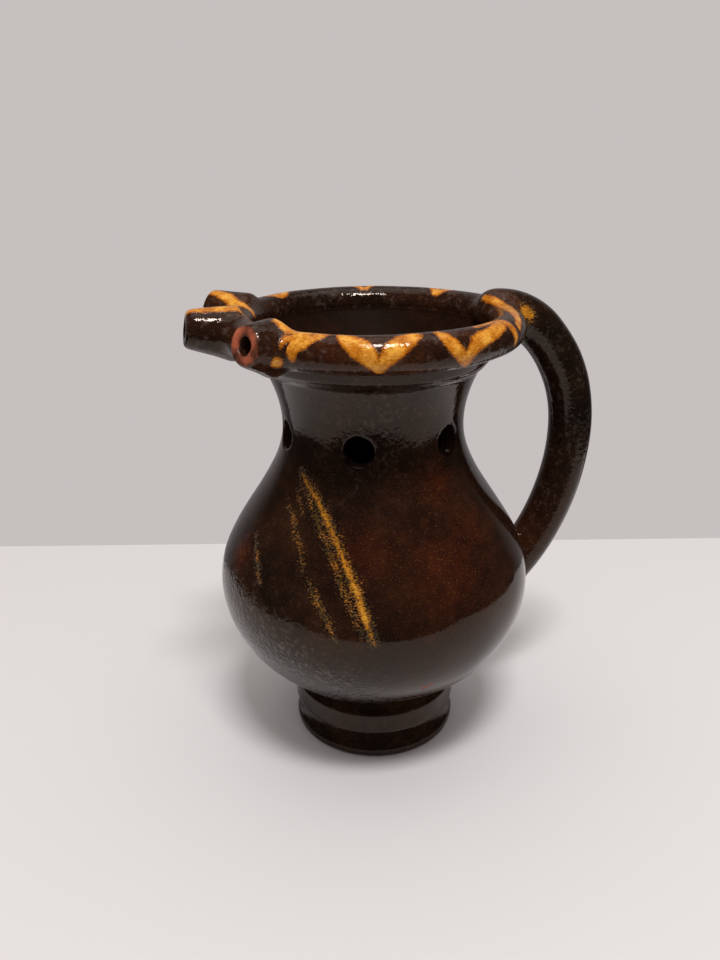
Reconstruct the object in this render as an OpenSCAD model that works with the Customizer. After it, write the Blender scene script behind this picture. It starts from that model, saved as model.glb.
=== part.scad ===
// Puzzle jug of glazed red clay.
// The pierced neck makes it useless to pour from the mouth. The drink leaves the belly through the
// hollow handle, runs round the hollow rim and is sucked out of one of three short spouts.
// Millimetres, +Z up. The origin is the centre of the flat base, +X points to the handle and -X to
// the middle spout.

/* [Foot] */
// Radius of the flat base
foot_r = 28.5; // [26:0.5:34]
// Height of the foot, up to the waist that carries the belly
foot_h = 22; // [20:0.5:28]
// Radius of the waist
waist_r = 25.2; // [22:0.2:27]
// Height of the rounded lip at the base
foot_lip_h = 4; // [3:0.5:6]
// Depth of the groove above the lip
foot_groove_depth = 2.8; // [0.5:0.1:3]
// Radius of the turned band above the groove
foot_band_r = 28.6; // [26:0.2:34]
// Height of the band's lower edge
foot_band_z = 10.5; // [8:0.5:12]
// Height of the band's upper edge
foot_band_top_z = 18.6; // [15:0.2:19]
// Thickness of the floor inside the foot
foot_floor = 8; // [6:0.5:12]

/* [Belly] */
// Widest radius of the belly
belly_r = 52.3; // [46:0.5:62]
// Height of the widest place
belly_z = 60; // [54:0.5:70]
// Thickness of the thrown wall
wall = 5; // [3.5:0.1:6]

/* [Neck] */
// Narrowest radius of the neck
neck_r = 29.3; // [26:0.2:34]
// Radius at the top of the neck
neck_top_r = 35.1; // [32:0.2:40]
// Height of the top of the neck
neck_top_z = 134; // [112:0.5:158]
// Height of the flare, from the narrowest place to the top of the neck
neck_flare_h = 20; // [15:0.5:26]
// Diameter of the pierced holes
hole_d = 9.4; // [5:0.2:12]
// How far the pierced holes lie below the narrowest place
hole_drop = 1.6; // [-4:0.2:6]
// Number of pierced holes
hole_count = 6; // [3:1:8]
// Turn of the ring of holes from the handle
hole_turn = 4.6; // [0:0.2:60]

/* [Rim] */
// Radius of the hollow rim's centre line
rim_r = 42; // [40:0.5:48]
// Radius of the hollow rim's clay tube
rim_tube_r = 5.45; // [4.8:0.05:6.5]
// Radius of the channel inside the rim
channel_r = 2.8; // [2:0.1:3.4]
// Height of the collar under the rim
collar_h = 4.5; // [3:0.5:8]
// Overhang of the collar past the neck
collar_overhang = 1.9; // [0.5:0.1:3]
// Flare of the collar towards its top
collar_flare = 1.3; // [0:0.1:2]

/* [Spouts] */
// Angle between neighbouring spouts
spout_spread = 33; // [26:0.5:40]
// Upward tilt of the middle spout
spout_middle_tilt = 9; // [0:0.5:15]
// Upward tilt of the front spout
spout_front_tilt = 12.5; // [0:0.5:18]
// Upward tilt of the rear spout
spout_rear_tilt = 14; // [0:0.5:18]
// Length of the middle spout, from the rim's centre line
spout_middle_len = 15.6; // [11:0.2:22]
// Length of the front spout, from the rim's centre line
spout_front_len = 11.4; // [10:0.2:22]
// Length of the rear spout, from the rim's centre line
spout_rear_len = 14.2; // [10:0.2:22]
// Radius of a spout's root
spout_root_r = 7.6; // [6.6:0.1:8]
// Radius of a spout's tip
spout_tip_r = 5.65; // [4.5:0.05:6.5]
// Radius of a spout's bore
spout_bore_r = 2.5; // [1.5:0.1:2.7]

/* [Handle] */
// Radius of the hollow handle
handle_r = 7.5; // [6.8:0.1:8.5]
// Radius of the bore inside the handle
handle_bore_r = 3; // [2:0.1:3.6]
// Height of the handle's start above the rim's centre line
handle_rise = 1.2; // [0:0.1:2]
// Distance of the handle's centre line from the axis, where it is farthest out
handle_reach = 72.6; // [68:0.2:84]
// Height at which the handle is farthest out
handle_apex_z = 103.6; // [98:0.2:110]
// Height at which the handle lands on the belly
handle_land_z = 50.5; // [46:0.5:58]
// Radius of the coil of soft clay pressed round each end of the handle
luting_r = 1.6; // [1:0.1:2.2]

/* [Hidden] */
$fn = 96;

// Colours of the fired glaze, the thinner glaze on edges and the bare clay smears
dark_glaze = "#2e1a12";
red_glaze = "#47230f";
rim_glaze = "#5a3517";
clay_smear = "#6b5348";

// Straight steps along each curved stretch of a turned wall
curve_steps = 18;
// Straight steps along a small turned edge
edge_steps = 4;
// How far a cut runs past the surface that it leaves
overrun = 1;
// Rounding of the lip at the base
foot_lip_round = 1.5;
// Clay left between a pierced hole and the seam where the neck was thrown onto the belly
seam_margin = 7.7;
// Height of the rim tube's lowest line above the collar's outer edge
rim_lift = 0.55;
// Where the inside of the collar runs out on the rim's tube, counted from the +X side of the tube
collar_inner_angle = 195;
// How far the luting coil's middle lies outside the surface that the handle is pressed on
luting_standoff = 0.6;
// Tightness of the handle's first arc: near 0 it turns almost square, at 1 it follows its second arc
handle_bend_share = 0.57;
// How deep the back edge of a spout's root lies in the rim's tube
spout_root_tuck = 0.6;
// Rounding of a spout's worn tip
spout_tip_round = 1;
// How far the balls and discs that join the handle's arcs stand out of them
joint_proud = 0.05;
// Thickness of those discs
joint_disc_h = 1;

neck_z = neck_top_z - neck_flare_h;
hole_z = neck_z - hole_drop;

// Half height of the ellipse that the lower belly follows down to the waist
belly_half_h = (belly_z - foot_h) / sqrt(1 - pow(waist_r / belly_r, 2));

// Turned wall, from the waist to the top of the neck
function belly_fall_share(z) = (belly_z - z) / belly_half_h;
function belly_width_share(z) = sqrt(1 - pow(belly_fall_share(z), 2));
function shoulder_lift(z) = 180 * (z - belly_z) / (neck_z - belly_z);
function flare_share(z) = (z - neck_z) / (neck_top_z - neck_z);
function wall_r(z) =
    z < belly_z ? belly_r * belly_width_share(z) :
    z < neck_z ? (belly_r + neck_r) / 2 + (belly_r - neck_r) / 2 * cos(shoulder_lift(z)) :
    neck_r + (neck_top_r - neck_r) * pow(flare_share(z), 2);

// Change of the outer radius for each millimetre of height
function wall_slope(z) =
    z < belly_z ? belly_r * belly_fall_share(z) / belly_width_share(z) / belly_half_h :
    z < neck_z ? -(belly_r - neck_r) / 2 * sin(shoulder_lift(z)) * PI / (neck_z - belly_z) :
    2 * (neck_top_r - neck_r) * flare_share(z) / (neck_top_z - neck_z);

// Inner radius that leaves the wall its thickness square to its surface
function inside_r(z) = wall_r(z) - wall * sqrt(1 + pow(wall_slope(z), 2));

function between(a, b, i, n) = a + (b - a) * i / n;
function outer_points(a, b) = [for (i = [0:curve_steps])
    let (z = between(a, b, i, curve_steps)) [wall_r(z), z]];
function inner_points(a, b) = [for (i = [0:curve_steps])
    let (z = between(a, b, i, curve_steps)) [inside_r(z), z]];
function edge_arc(x, z, r, a, b) = [for (i = [0:edge_steps])
    let (t = between(a, b, i, edge_steps)) [x + r * cos(t), z + r * sin(t)]];

seam_z = hole_z - hole_d / 2 - seam_margin;
rim_z = neck_top_z + collar_h + rim_lift + rim_tube_r;
foot_groove_r = foot_r - foot_groove_depth;
cup_r = inside_r(foot_h);
collar_r = neck_top_r + collar_overhang;
hole_start_r = inside_r(neck_z) - wall;

// Handle: three arcs in the XZ plane that run on into each other, from the rim to the belly
start = [rim_r, rim_z + handle_rise];
apex = [handle_reach, handle_apex_z];
landing = [wall_r(handle_land_z), handle_land_z];
over = apex[0] - start[0];
down = start[1] - apex[1];
// How far the handle turns down before its first arc gives way to its second
handle_bend = 90 - 2 * atan(handle_bend_share * over / down);
bend_sin = sin(handle_bend);
bend_cos = cos(handle_bend);
bend_share = bend_sin + bend_cos - 1;
top_arc_r = (bend_cos * over - (1 - bend_sin) * down) / bend_share;
mid_arc_r = (bend_sin * down - (1 - bend_cos) * over) / bend_share;
inward = apex - landing;
low_arc_r = (inward[0] * inward[0] + inward[1] * inward[1]) / (2 * inward[0]);
low_arc_turn = asin(inward[1] / low_arc_r);
top_arc_centre = start - [0, top_arc_r];
mid_arc_centre = apex - [mid_arc_r, 0];
low_arc_centre = apex - [low_arc_r, 0];
bend_point = top_arc_centre + top_arc_r * [bend_sin, bend_cos];

// Where the handle leaves the rim and the belly, with its downward heading there
leave_rim_turn = asin((rim_tube_r + luting_standoff) / top_arc_r);
leave_rim = top_arc_centre + top_arc_r * [sin(leave_rim_turn), cos(leave_rim_turn)];
leave_belly = landing + luting_standoff * [sin(low_arc_turn), cos(low_arc_turn)];

// One bent stretch of round bar, from heading angle a to b round a centre in the XZ plane
module bent_bar(centre, bend_r, bar_r, a, b) {
    translate([centre[0], 0, centre[1]])
        rotate([90, 0, 0])
            rotate([0, 0, a])
                rotate_extrude(angle = b - a)
                    translate([bend_r, 0])
                        circle(bar_r);
}

// A thin disc across the handle that joins two of its arcs, at a place and a downward heading
module joint_disc(place, heading, bar_r) {
    translate([place[0], 0, place[1]])
        rotate([0, 90 + heading, 0])
            cylinder(h = joint_disc_h, r = bar_r + joint_proud, center = true);
}

// The whole centre line of the handle as round bar with ball ends, used for the clay and the bore
module handle_bar(bar_r) {
    bent_bar(top_arc_centre, top_arc_r, bar_r, 90 - handle_bend, 90);
    bent_bar(mid_arc_centre, mid_arc_r, bar_r, 0, 90 - handle_bend);
    bent_bar(low_arc_centre, low_arc_r, bar_r, -low_arc_turn, 0);
    joint_disc(bend_point, handle_bend, bar_r);
    joint_disc(apex, 90, bar_r);
    for (end = [start, landing])
        translate([end[0], 0, end[1]])
            sphere(bar_r + joint_proud);
}

// Way through the belly's wall, pierced level at the handle's landing
module handle_port() {
    port_len = landing[0] - inside_r(handle_land_z) + handle_bore_r;
    translate([landing[0] + overrun, 0, landing[1]])
        rotate([0, -90, 0])
            cylinder(h = port_len + 2 * overrun, r = handle_bore_r);
}

// The rim's tube with no channel, which seats everything that is pressed on the rim
module rim_bar() {
    rotate_extrude()
        translate([rim_r, rim_z])
            circle(rim_tube_r);
}

// What the spouts and the handle open in the rim's tube
module rim_ports() {
    spout_bore(0, spout_middle_tilt, spout_middle_len);
    spout_bore(1, spout_front_tilt, spout_front_len);
    spout_bore(-1, spout_rear_tilt, spout_rear_len);
    bent_bar(top_arc_centre, top_arc_r, handle_bore_r, 90 - handle_bend, 90);
}

// Half of the hollow rim, above or below its centre line
module rim_half(lift) {
    difference() {
        rotate_extrude()
            translate([rim_r, rim_z])
                intersection() {
                    difference() {
                        circle(rim_tube_r);
                        circle(channel_r);
                    }
                    translate([-rim_tube_r, lift - rim_tube_r])
                        square([2 * rim_tube_r, rim_tube_r]);
                }
        rim_ports();
    }
}

// Moves a spout drawn along +Z to its place, counted in steps of the spread from the middle one
module at_spout(step, tilt) {
    rotate([0, 0, 180 + step * spout_spread])
        translate([rim_r, 0, rim_z])
            rotate([0, 90 - tilt, 0])
                children();
}

module spout_bore(step, tilt, len) {
    at_spout(step, tilt)
        cylinder(h = len + overrun, r = spout_bore_r);
}

module spout(step, tilt, len) {
    difference() {
        at_spout(step, tilt)
            rotate_extrude()
                polygon(concat(
                    [[0, 0], [rim_tube_r - spout_root_tuck, 0], [spout_root_r, rim_tube_r]],
                    edge_arc(spout_tip_r - spout_tip_round, len - spout_tip_round, spout_tip_round, 0, 90),
                    [[0, len]]
                ));
        rim_bar();
        collar_ring();
        spout_bore(step, tilt, len);
    }
}

module collar_ring() {
    rotate_extrude()
        difference() {
            polygon([
                [inside_r(neck_top_z), neck_top_z],
                [collar_r, neck_top_z],
                [collar_r + collar_flare, neck_top_z + collar_h],
                [rim_r, rim_z],
                [rim_r + rim_tube_r * cos(collar_inner_angle),
                 rim_z + rim_tube_r * sin(collar_inner_angle)]
            ]);
            translate([rim_r, rim_z])
                circle(rim_tube_r);
        }
}

// The belly's whole outside, which shapes the handle's landing
module belly_bulk() {
    rotate_extrude()
        polygon(concat([[0, foot_h]], belly_outside(), [[0, seam_z]]));
}

function belly_outside() = concat(outer_points(foot_h, belly_z), outer_points(belly_z, seam_z));
function belly_inside() = concat(inner_points(seam_z, belly_z), inner_points(belly_z, foot_h));

// Soft clay pressed round the underside of the handle, at a place and a downward heading on its
// centre line. Its upper half is smoothed away.
module luting_coil(place, heading) {
    reach = handle_r + luting_r + overrun;
    translate([place[0], 0, place[1]])
        difference() {
            rotate([0, 90 + heading, 0])
                rotate_extrude()
                    translate([handle_r, 0])
                        circle(luting_r);
            translate([-reach, -reach, 0])
                cube([2 * reach, 2 * reach, reach]);
        }
}

module foot() {
    color(dark_glaze)
        rotate_extrude()
            polygon(concat(
                [[0, 0]],
                edge_arc(foot_r - foot_lip_round, foot_lip_round, foot_lip_round, -90, 0),
                edge_arc(foot_r - foot_lip_round, foot_lip_h - foot_lip_round, foot_lip_round, 0, 90),
                [
                    [foot_groove_r, foot_lip_h],
                    [foot_groove_r, foot_band_z],
                    [foot_band_r, foot_band_z],
                    [foot_band_r, foot_band_top_z],
                    [waist_r, foot_h],
                    [cup_r, foot_h],
                    [cup_r, foot_floor],
                    [0, foot_floor]
                ]
            ));
}

module belly() {
    color(red_glaze)
        difference() {
            rotate_extrude()
                polygon(concat(belly_outside(), belly_inside()));
            handle_port();
        }
}

module neck() {
    color(dark_glaze)
        difference() {
            rotate_extrude()
                polygon(concat(
                    outer_points(seam_z, neck_z),
                    outer_points(neck_z, neck_top_z),
                    inner_points(neck_top_z, neck_z),
                    inner_points(neck_z, seam_z)
                ));
            for (i = [0:hole_count - 1])
                rotate([0, 0, hole_turn + i * 360 / hole_count])
                    translate([hole_start_r, 0, hole_z])
                        rotate([0, 90, 0])
                            cylinder(h = wall_r(seam_z) - hole_start_r, d = hole_d);
        }
}

module neck_collar() {
    color(dark_glaze)
        collar_ring();
}

module rim_trough() {
    color(rim_glaze)
        rim_half(0);
}

module rim_cover() {
    color(rim_glaze)
        rim_half(rim_tube_r);
}

module spout_middle() {
    color(rim_glaze)
        spout(0, spout_middle_tilt, spout_middle_len);
}

module spout_front() {
    color(rim_glaze)
        spout(1, spout_front_tilt, spout_front_len);
}

module spout_rear() {
    color(rim_glaze)
        spout(-1, spout_rear_tilt, spout_rear_len);
}

module handle() {
    color(dark_glaze)
        difference() {
            handle_bar(handle_r);
            rim_bar();
            collar_ring();
            belly_bulk();
            handle_bar(handle_bore_r);
        }
}

module handle_top_luting() {
    color(clay_smear)
        difference() {
            luting_coil(leave_rim, leave_rim_turn);
            rim_bar();
            handle_bar(handle_r);
        }
}

module handle_foot_luting() {
    color(clay_smear)
        difference() {
            luting_coil(leave_belly, 90 + low_arc_turn);
            belly_bulk();
            handle_bar(handle_r);
        }
}

foot();
belly();
neck();
neck_collar();
rim_trough();
rim_cover();
spout_middle();
spout_front();
spout_rear();
handle();
handle_top_luting();
handle_foot_luting();
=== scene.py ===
# %% [markdown]
# # A puzzle jug in glazed red clay
# The jug stands on a turned foot. Its neck is pierced, so nobody can drink over the mouth: the drink
# climbs through the hollow handle, runs round the hollow rim and is sucked from one of three spouts.
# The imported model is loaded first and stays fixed. Every mesh made below takes the place of one of
# its nodes, at the same size and in the same place, with the soft joints and the glaze added.

# %% The frame
import math

import bpy
import numpy as np
from mathutils import Matrix, Vector, kdtree
from mathutils.bvhtree import BVHTree
from mathutils.interpolate import poly_3d_calc


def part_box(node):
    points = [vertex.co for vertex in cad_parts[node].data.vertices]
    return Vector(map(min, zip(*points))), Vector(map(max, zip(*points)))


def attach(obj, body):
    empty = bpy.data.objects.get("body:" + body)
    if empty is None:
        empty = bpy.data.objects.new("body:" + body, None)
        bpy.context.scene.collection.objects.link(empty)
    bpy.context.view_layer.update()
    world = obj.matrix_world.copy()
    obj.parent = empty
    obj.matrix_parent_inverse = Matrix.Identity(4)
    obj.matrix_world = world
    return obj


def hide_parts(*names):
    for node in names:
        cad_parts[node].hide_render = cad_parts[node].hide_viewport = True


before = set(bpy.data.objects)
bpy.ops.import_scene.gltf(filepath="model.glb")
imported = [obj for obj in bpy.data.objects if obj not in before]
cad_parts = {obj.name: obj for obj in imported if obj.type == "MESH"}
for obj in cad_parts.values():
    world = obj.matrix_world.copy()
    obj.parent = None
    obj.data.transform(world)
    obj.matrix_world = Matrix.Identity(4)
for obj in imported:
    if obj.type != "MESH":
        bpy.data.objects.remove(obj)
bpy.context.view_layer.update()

MM = 0.001
print("nodes:", sorted(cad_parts))

# %% [markdown]
# ## Camera
# The camera stands about a quarter of a metre in front of the jug, a little to the left, and looks
# down by 22 degrees. Rotations are read from right to left: roll first, then pitch, then heading.

# %% Camera
PHOTO_H = 960
focal_px = 810
sensor_mm = 36
camera_place = Vector((-73.68, -240.99, 194)) * MM
heading, pitch, roll = -16, 68, -0.68

camera_data = bpy.data.cameras.new("camera")
camera_data.sensor_width = sensor_mm
camera_data.lens = sensor_mm * focal_px / PHOTO_H
camera_data.clip_start = 10 * MM
camera = bpy.data.objects.new("camera", camera_data)
bpy.context.scene.collection.objects.link(camera)
camera.matrix_world = (Matrix.Translation(camera_place)
                       @ Matrix.Rotation(math.radians(heading), 4, "Z")
                       @ Matrix.Rotation(math.radians(pitch), 4, "X")
                       @ Matrix.Rotation(math.radians(roll), 4, "Z"))
bpy.context.scene.camera = camera
bpy.context.scene.view_settings.view_transform = "Standard"
print("lens", round(camera_data.lens, 2), "mm")

# %% [markdown]
# ## Sizes
# What the frame can tell is measured on it, so the looks follow the solids. The few sizes that no
# box gives, such as the waist, are named here. All of them are in millimetres.

# %% Sizes
def low_high(node):
    """The lowest and highest corners of a node, in millimetres."""
    low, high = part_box(node)
    return low / MM, high / MM


foot_h = low_high("belly")[0].z
seam_z = low_high("neck")[0].z
belly_r = low_high("belly")[1].y
neck_top_r = low_high("neck")[1].y
neck_top_z = low_high("neck")[1].z
rim_z = low_high("rim_cover")[0].z
rim_tube_r = low_high("rim_cover")[1].z - rim_z
rim_r = low_high("rim_cover")[1].y - rim_tube_r
coil_r = 1.6
handle_r = low_high("handle_foot_luting")[1].y - coil_r

waist_r, belly_z, wall = 25.2, 60, 5
neck_r, neck_z = 29.3, neck_top_z - 20
hole_r, hole_z, hole_count, hole_turn = 4.7, neck_z - 1.6, 6, 4.6
channel_r, spout_bore_r, handle_bore_r = 2.8, 2.5, 3
spout_spread, spout_root_r, spout_tip_r = 33, 7.6, 5.65
# For each spout: its place counted from the middle one, its upward tilt and its length
spouts = {"spout_middle": (0, 9, 15.6), "spout_front": (1, 12.5, 11.4), "spout_rear": (-1, 14, 14.2)}
belly_half_h = (belly_z - foot_h) / math.sqrt(1 - (waist_r / belly_r) ** 2)
print("rim", round(rim_r, 2), round(rim_tube_r, 2), round(rim_z, 2), "handle", round(handle_r, 2))


def wall_r(z):
    """Outer radius of the thrown wall at a height."""
    if z < belly_z:
        return belly_r * math.sqrt(1 - ((belly_z - z) / belly_half_h) ** 2)
    if z < neck_z:
        turn = math.pi * (z - belly_z) / (neck_z - belly_z)
        return (belly_r + neck_r) / 2 + (belly_r - neck_r) / 2 * math.cos(turn)
    return neck_r + (neck_top_r - neck_r) * ((z - neck_z) / (neck_top_z - neck_z)) ** 2


def wall_lean(z):
    """How much longer the slanting wall is than its height, and the change of its radius with height."""
    step = 0.01
    slope = (wall_r(z + step) - wall_r(z - step)) / (2 * step)
    return math.hypot(1, slope), slope


def wall_offset(z, depth):
    """The point that lies a depth inside the wall, square to its surface at a height."""
    lean, slope = wall_lean(z)
    return wall_r(z) - depth / lean, z + depth * slope / lean


def inside_r(z):
    """Inner radius of the wall at a height."""
    return wall_r(z) - wall * wall_lean(z)[0]

# %% [markdown]
# ## Small tools
# Operators act on whatever is selected, so each helper first makes its object the only one picked.
# A modifier is added with its settings and applied at once, which keeps the mesh plain.

# %% Small tools
hair = 0.002 * MM


def pick(*objects):
    """Selects only these objects and makes the first one active."""
    bpy.ops.object.select_all(action="DESELECT")
    for obj in objects:
        obj.select_set(True)
    bpy.context.view_layer.objects.active = objects[0]


def modify(obj, kind, **settings):
    """Adds a modifier, sets it and applies it."""
    modifier = obj.modifiers.new(kind.title(), kind)
    for key, value in settings.items():
        setattr(modifier, key, value)
    pick(obj)
    bpy.ops.object.modifier_apply(modifier=modifier.name)


def copy_of(obj, name):
    """A copy with its own mesh."""
    twin = obj.copy()
    twin.data = obj.data.copy()
    twin.name = name
    bpy.context.scene.collection.objects.link(twin)
    return twin


def fuse(first, *others):
    """Joins objects into the first one."""
    pick(first, *others)
    bpy.ops.object.join()
    return first


def discard(*objects):
    for obj in objects:
        bpy.data.objects.remove(obj)


def cut(obj, cutter, operation="DIFFERENCE"):
    """Cuts an object with another. Cut faces take the cutter's material."""
    modify(obj, "BOOLEAN", object=cutter, operation=operation,
           solver="MANIFOLD", material_mode="TRANSFER")


def clean(obj):
    """Merges doubles and turns the faces outwards."""
    pick(obj)
    bpy.ops.object.mode_set(mode="EDIT")
    bpy.ops.mesh.select_all(action="SELECT")
    bpy.ops.mesh.remove_doubles(threshold=hair)
    bpy.ops.mesh.normals_make_consistent(inside=False)
    bpy.ops.object.mode_set(mode="OBJECT")


def turned(name, outline, steps=360):
    """Draws a closed outline of (radius, height) by extruding a vertex, and spins it round Z."""
    bpy.ops.object.select_all(action="DESELECT")
    bpy.ops.mesh.primitive_plane_add(size=MM)
    obj = bpy.context.object
    obj.name = name
    bpy.ops.object.mode_set(mode="EDIT")
    bpy.ops.mesh.merge(type="CENTER")
    bpy.ops.transform.translate(value=(outline[0][0] * MM, 0, outline[0][1] * MM))
    for (r0, z0), (r1, z1) in zip(outline, outline[1:] + outline[:1]):
        step = ((r1 - r0) * MM, 0, (z1 - z0) * MM)
        bpy.ops.mesh.extrude_region_move(TRANSFORM_OT_translate={"value": step})
    bpy.ops.mesh.select_all(action="SELECT")
    bpy.ops.mesh.remove_doubles(threshold=hair)
    bpy.ops.mesh.spin(steps=steps, angle=2 * math.pi, center=(0, 0, 0), axis=(0, 0, 1))
    bpy.ops.object.mode_set(mode="OBJECT")
    clean(obj)
    return obj


def arc(r, z, radius, start, end, steps=6):
    """Outline points on an arc round (r, z), from a start to an end angle in degrees."""
    angles = np.radians(np.linspace(start, end, steps + 1))
    return [(r + radius * math.cos(a), z + radius * math.sin(a)) for a in angles]


def report(obj):
    triangles = sum(len(p.vertices) - 2 for p in obj.data.polygons)
    size = [round(v / MM, 1) for v in obj.dimensions]
    print(obj.name, size, "mm,", triangles, "triangles")

# %% [markdown]
# ## Foot
# The foot was thrown as a thick disc and turned on the wheel: a rounded lip, a hollow groove, a flat
# band and a slope up to the waist. A lathe outline gives exactly that. Small arcs soften every edge,
# because the glaze fills sharp corners. Inside it is a plain cup under the belly.

# %% Foot
lip_r, band_r, groove_r, cup_r, floor_z = 28.5, 28.6, 25.7, inside_r(foot_h), 8
foot_outline = (
    [(0, 0)]
    + arc(lip_r - 2, 2, 2, -90, 0, 8)
    + arc(lip_r - 1.2, 2.8, 1.2, 0, 58)
    + [(groove_r + 0.1, 9.2), (groove_r, 9.6)]
    + arc(groove_r + 0.6, 9.9, 0.6, 180, 90, 4)
    + arc(band_r - 0.6, 11.1, 0.6, -90, 0)
    + [(band_r + 0.05, 12), (band_r - 0.1, 13), (band_r - 0.1, 16)]
    + arc(band_r - 1.5, 17, 1.4, 0, 55)
    + [(26.6, 19.4), (25.6, 21), (waist_r, foot_h)]
    + [(cup_r, foot_h), (cup_r, floor_z + 3)]
    + arc(cup_r - 3, floor_z + 3, 3, 0, -90)
    + [(0, floor_z)]
)
foot = turned("turned_foot", foot_outline)
report(foot)

# %% [markdown]
# ## Belly
# The belly is a thrown bowl closed in towards the neck, about 5 mm thick. Its outline follows the
# same curves as the solid, an ellipse below its widest place and a sine above it, with a point every
# millimetre outside and every two inside. The last step below the seam is very short, so the shading
# on both sides of the seam is the same.

# %% Belly
def heights(low, high, step):
    count = max(2, round((high - low) / step))
    return [low + (high - low) * i / count for i in range(count + 1)]


seam_step = 0.05
outer_z = heights(foot_h, seam_z - seam_step, 1.0) + [seam_z]
inner_z = [seam_z] + heights(foot_h, seam_z - seam_step, 2.0)[::-1]
belly_outline = [(wall_r(z), z) for z in outer_z]
belly_outline += [(inside_r(z), z) for z in inner_z[:-1]]
belly_outline += [(cup_r, foot_h)]
belly = turned("thrown_belly", belly_outline)
report(belly)

# %% [markdown]
# ## Rim, spouts and handle in soft clay
# The rim is a ring of tube, the spouts are short rolled tubes pressed on it and the handle is a bent
# tube luted to the rim and the belly. The potter works the joints smooth with a wet finger, so plain
# shapes that cut through each other would look wrong. They are joined here, turned into one skin by a
# voxel remesh, swollen, skinned again and shrunk back: every inner corner keeps a round fillet.

# %% Rim and spouts
def spout_axis(name):
    """Start on the rim's centre line and direction of a spout."""
    step, tilt, _ = spouts[name]
    turn, tilt = math.radians(180 + step * spout_spread), math.radians(tilt)
    outwards = Vector((math.cos(turn), math.sin(turn), 0))
    start = outwards * rim_r + Vector((0, 0, rim_z))
    return start, outwards * math.cos(tilt) + Vector((0, 0, math.sin(tilt)))


def tube_along(name, start, axis, first, last, r_first, r_last):
    """A round tube along an axis, between two distances from its start, with a radius at each."""
    bpy.ops.object.select_all(action="DESELECT")
    bpy.ops.mesh.primitive_cone_add(
        vertices=64, radius1=r_first * MM, radius2=r_last * MM, depth=(last - first) * MM,
        location=(start + axis * (first + last) / 2) * MM,
        rotation=axis.to_track_quat("Z", "Y").to_euler())
    obj = bpy.context.object
    obj.name = name
    bpy.ops.object.transform_apply(location=True, rotation=True, scale=True)
    return obj


bpy.ops.object.select_all(action="DESELECT")
bpy.ops.mesh.primitive_torus_add(
    location=(0, 0, rim_z * MM), major_radius=rim_r * MM, minor_radius=rim_tube_r * MM,
    major_segments=288, minor_segments=48)
crown = bpy.context.object
crown.name = "crown"
bpy.ops.object.transform_apply(location=True, rotation=True, scale=True)
rolled = []
for name, (_, _, length) in spouts.items():
    start, axis = spout_axis(name)
    tube = tube_along(name, start, axis, 0, length, spout_root_r + 0.8, spout_tip_r)
    pick(tube)
    bpy.ops.object.mode_set(mode="EDIT")
    bpy.ops.mesh.select_all(action="SELECT")
    bpy.ops.mesh.bevel(offset=1.4 * MM, segments=4, affect="EDGES", clamp_overlap=True)
    bpy.ops.object.mode_set(mode="OBJECT")
    below = start - Vector((0, 0, 1.4))
    web = tube_along(name + "_web", below, axis, 0, length * 0.7, spout_root_r, spout_tip_r - 0.8)
    rolled += [tube, web]
fuse(crown, *rolled)
report(crown)

# %% [markdown]
# The handle follows three arcs that run on into each other: a tight one over the top, a slack one
# down to the place where it is farthest out, and a long one back to the belly. A disc is spun
# round the middle of each arc in turn, as a pastry bag would lay it, and a ball rounds each end.

# %% Handle
handle_start = Vector((rim_r, 0, rim_z + 1.2))
handle_apex = Vector((72.6, 0, 103.6))
land_z = 50.5
handle_land = Vector((wall_r(land_z), 0, land_z))
bend_share = 0.57

over = handle_apex.x - handle_start.x
down = handle_start.z - handle_apex.z
bend = math.pi / 2 - 2 * math.atan(bend_share * over / down)
spread = math.sin(bend) + math.cos(bend) - 1
top_arc_r = (math.cos(bend) * over - (1 - math.sin(bend)) * down) / spread
mid_arc_r = (math.sin(bend) * down - (1 - math.cos(bend)) * over) / spread
inward = handle_apex - handle_land
low_arc_r = (inward.x ** 2 + inward.z ** 2) / (2 * inward.x)
low_turn = math.asin(inward.z / low_arc_r)
handle_arcs = [
    (handle_start - Vector((0, 0, top_arc_r)), bend, 20),
    (handle_apex - Vector((mid_arc_r, 0, 0)), math.pi / 2 - bend, 24),
    (handle_apex - Vector((low_arc_r, 0, 0)), low_turn, 36),
]


def bent_tube(name, radius):
    """A solid round tube along the handle's three arcs, with a ball on each end."""
    bpy.ops.object.select_all(action="DESELECT")
    bpy.ops.mesh.primitive_circle_add(
        vertices=48, radius=radius * MM, fill_type="NGON", location=handle_start * MM,
        rotation=(0, math.pi / 2, 0))
    obj = bpy.context.object
    obj.name = name
    bpy.ops.object.transform_apply(location=True, rotation=True, scale=True)
    bpy.ops.object.mode_set(mode="EDIT")
    bpy.ops.mesh.select_all(action="SELECT")
    for centre, turn, steps in handle_arcs:
        bpy.ops.mesh.spin(steps=steps, angle=-turn, center=centre * MM, axis=(0, 1, 0))
    bpy.ops.object.mode_set(mode="OBJECT")
    clean(obj)
    balls = []
    for end in (handle_start, handle_land):
        bpy.ops.object.select_all(action="DESELECT")
        bpy.ops.mesh.primitive_uv_sphere_add(
            segments=48, ring_count=24, radius=radius * 1.002 * MM, location=end * MM)
        bpy.ops.object.transform_apply(location=True, rotation=True, scale=True)
        balls.append(bpy.context.object)
    return fuse(obj, *balls)


bar = bent_tube("bar", handle_r)
report(bar)
print("arcs", [round(r, 1) for r in (top_arc_r, mid_arc_r, low_arc_r)])

# %% [markdown]
# The soft joints come next. The belly's outside joins in as a helper, a hair smaller than the real
# belly, so the handle's skirt runs down onto it and its edge dives just under the glaze.

# %% Soft joints
def skin(obj, voxel):
    """Turns overlapping shapes into one closed skin."""
    modify(obj, "REMESH", mode="VOXEL", voxel_size=voxel * MM, use_smooth_shade=True)


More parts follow.
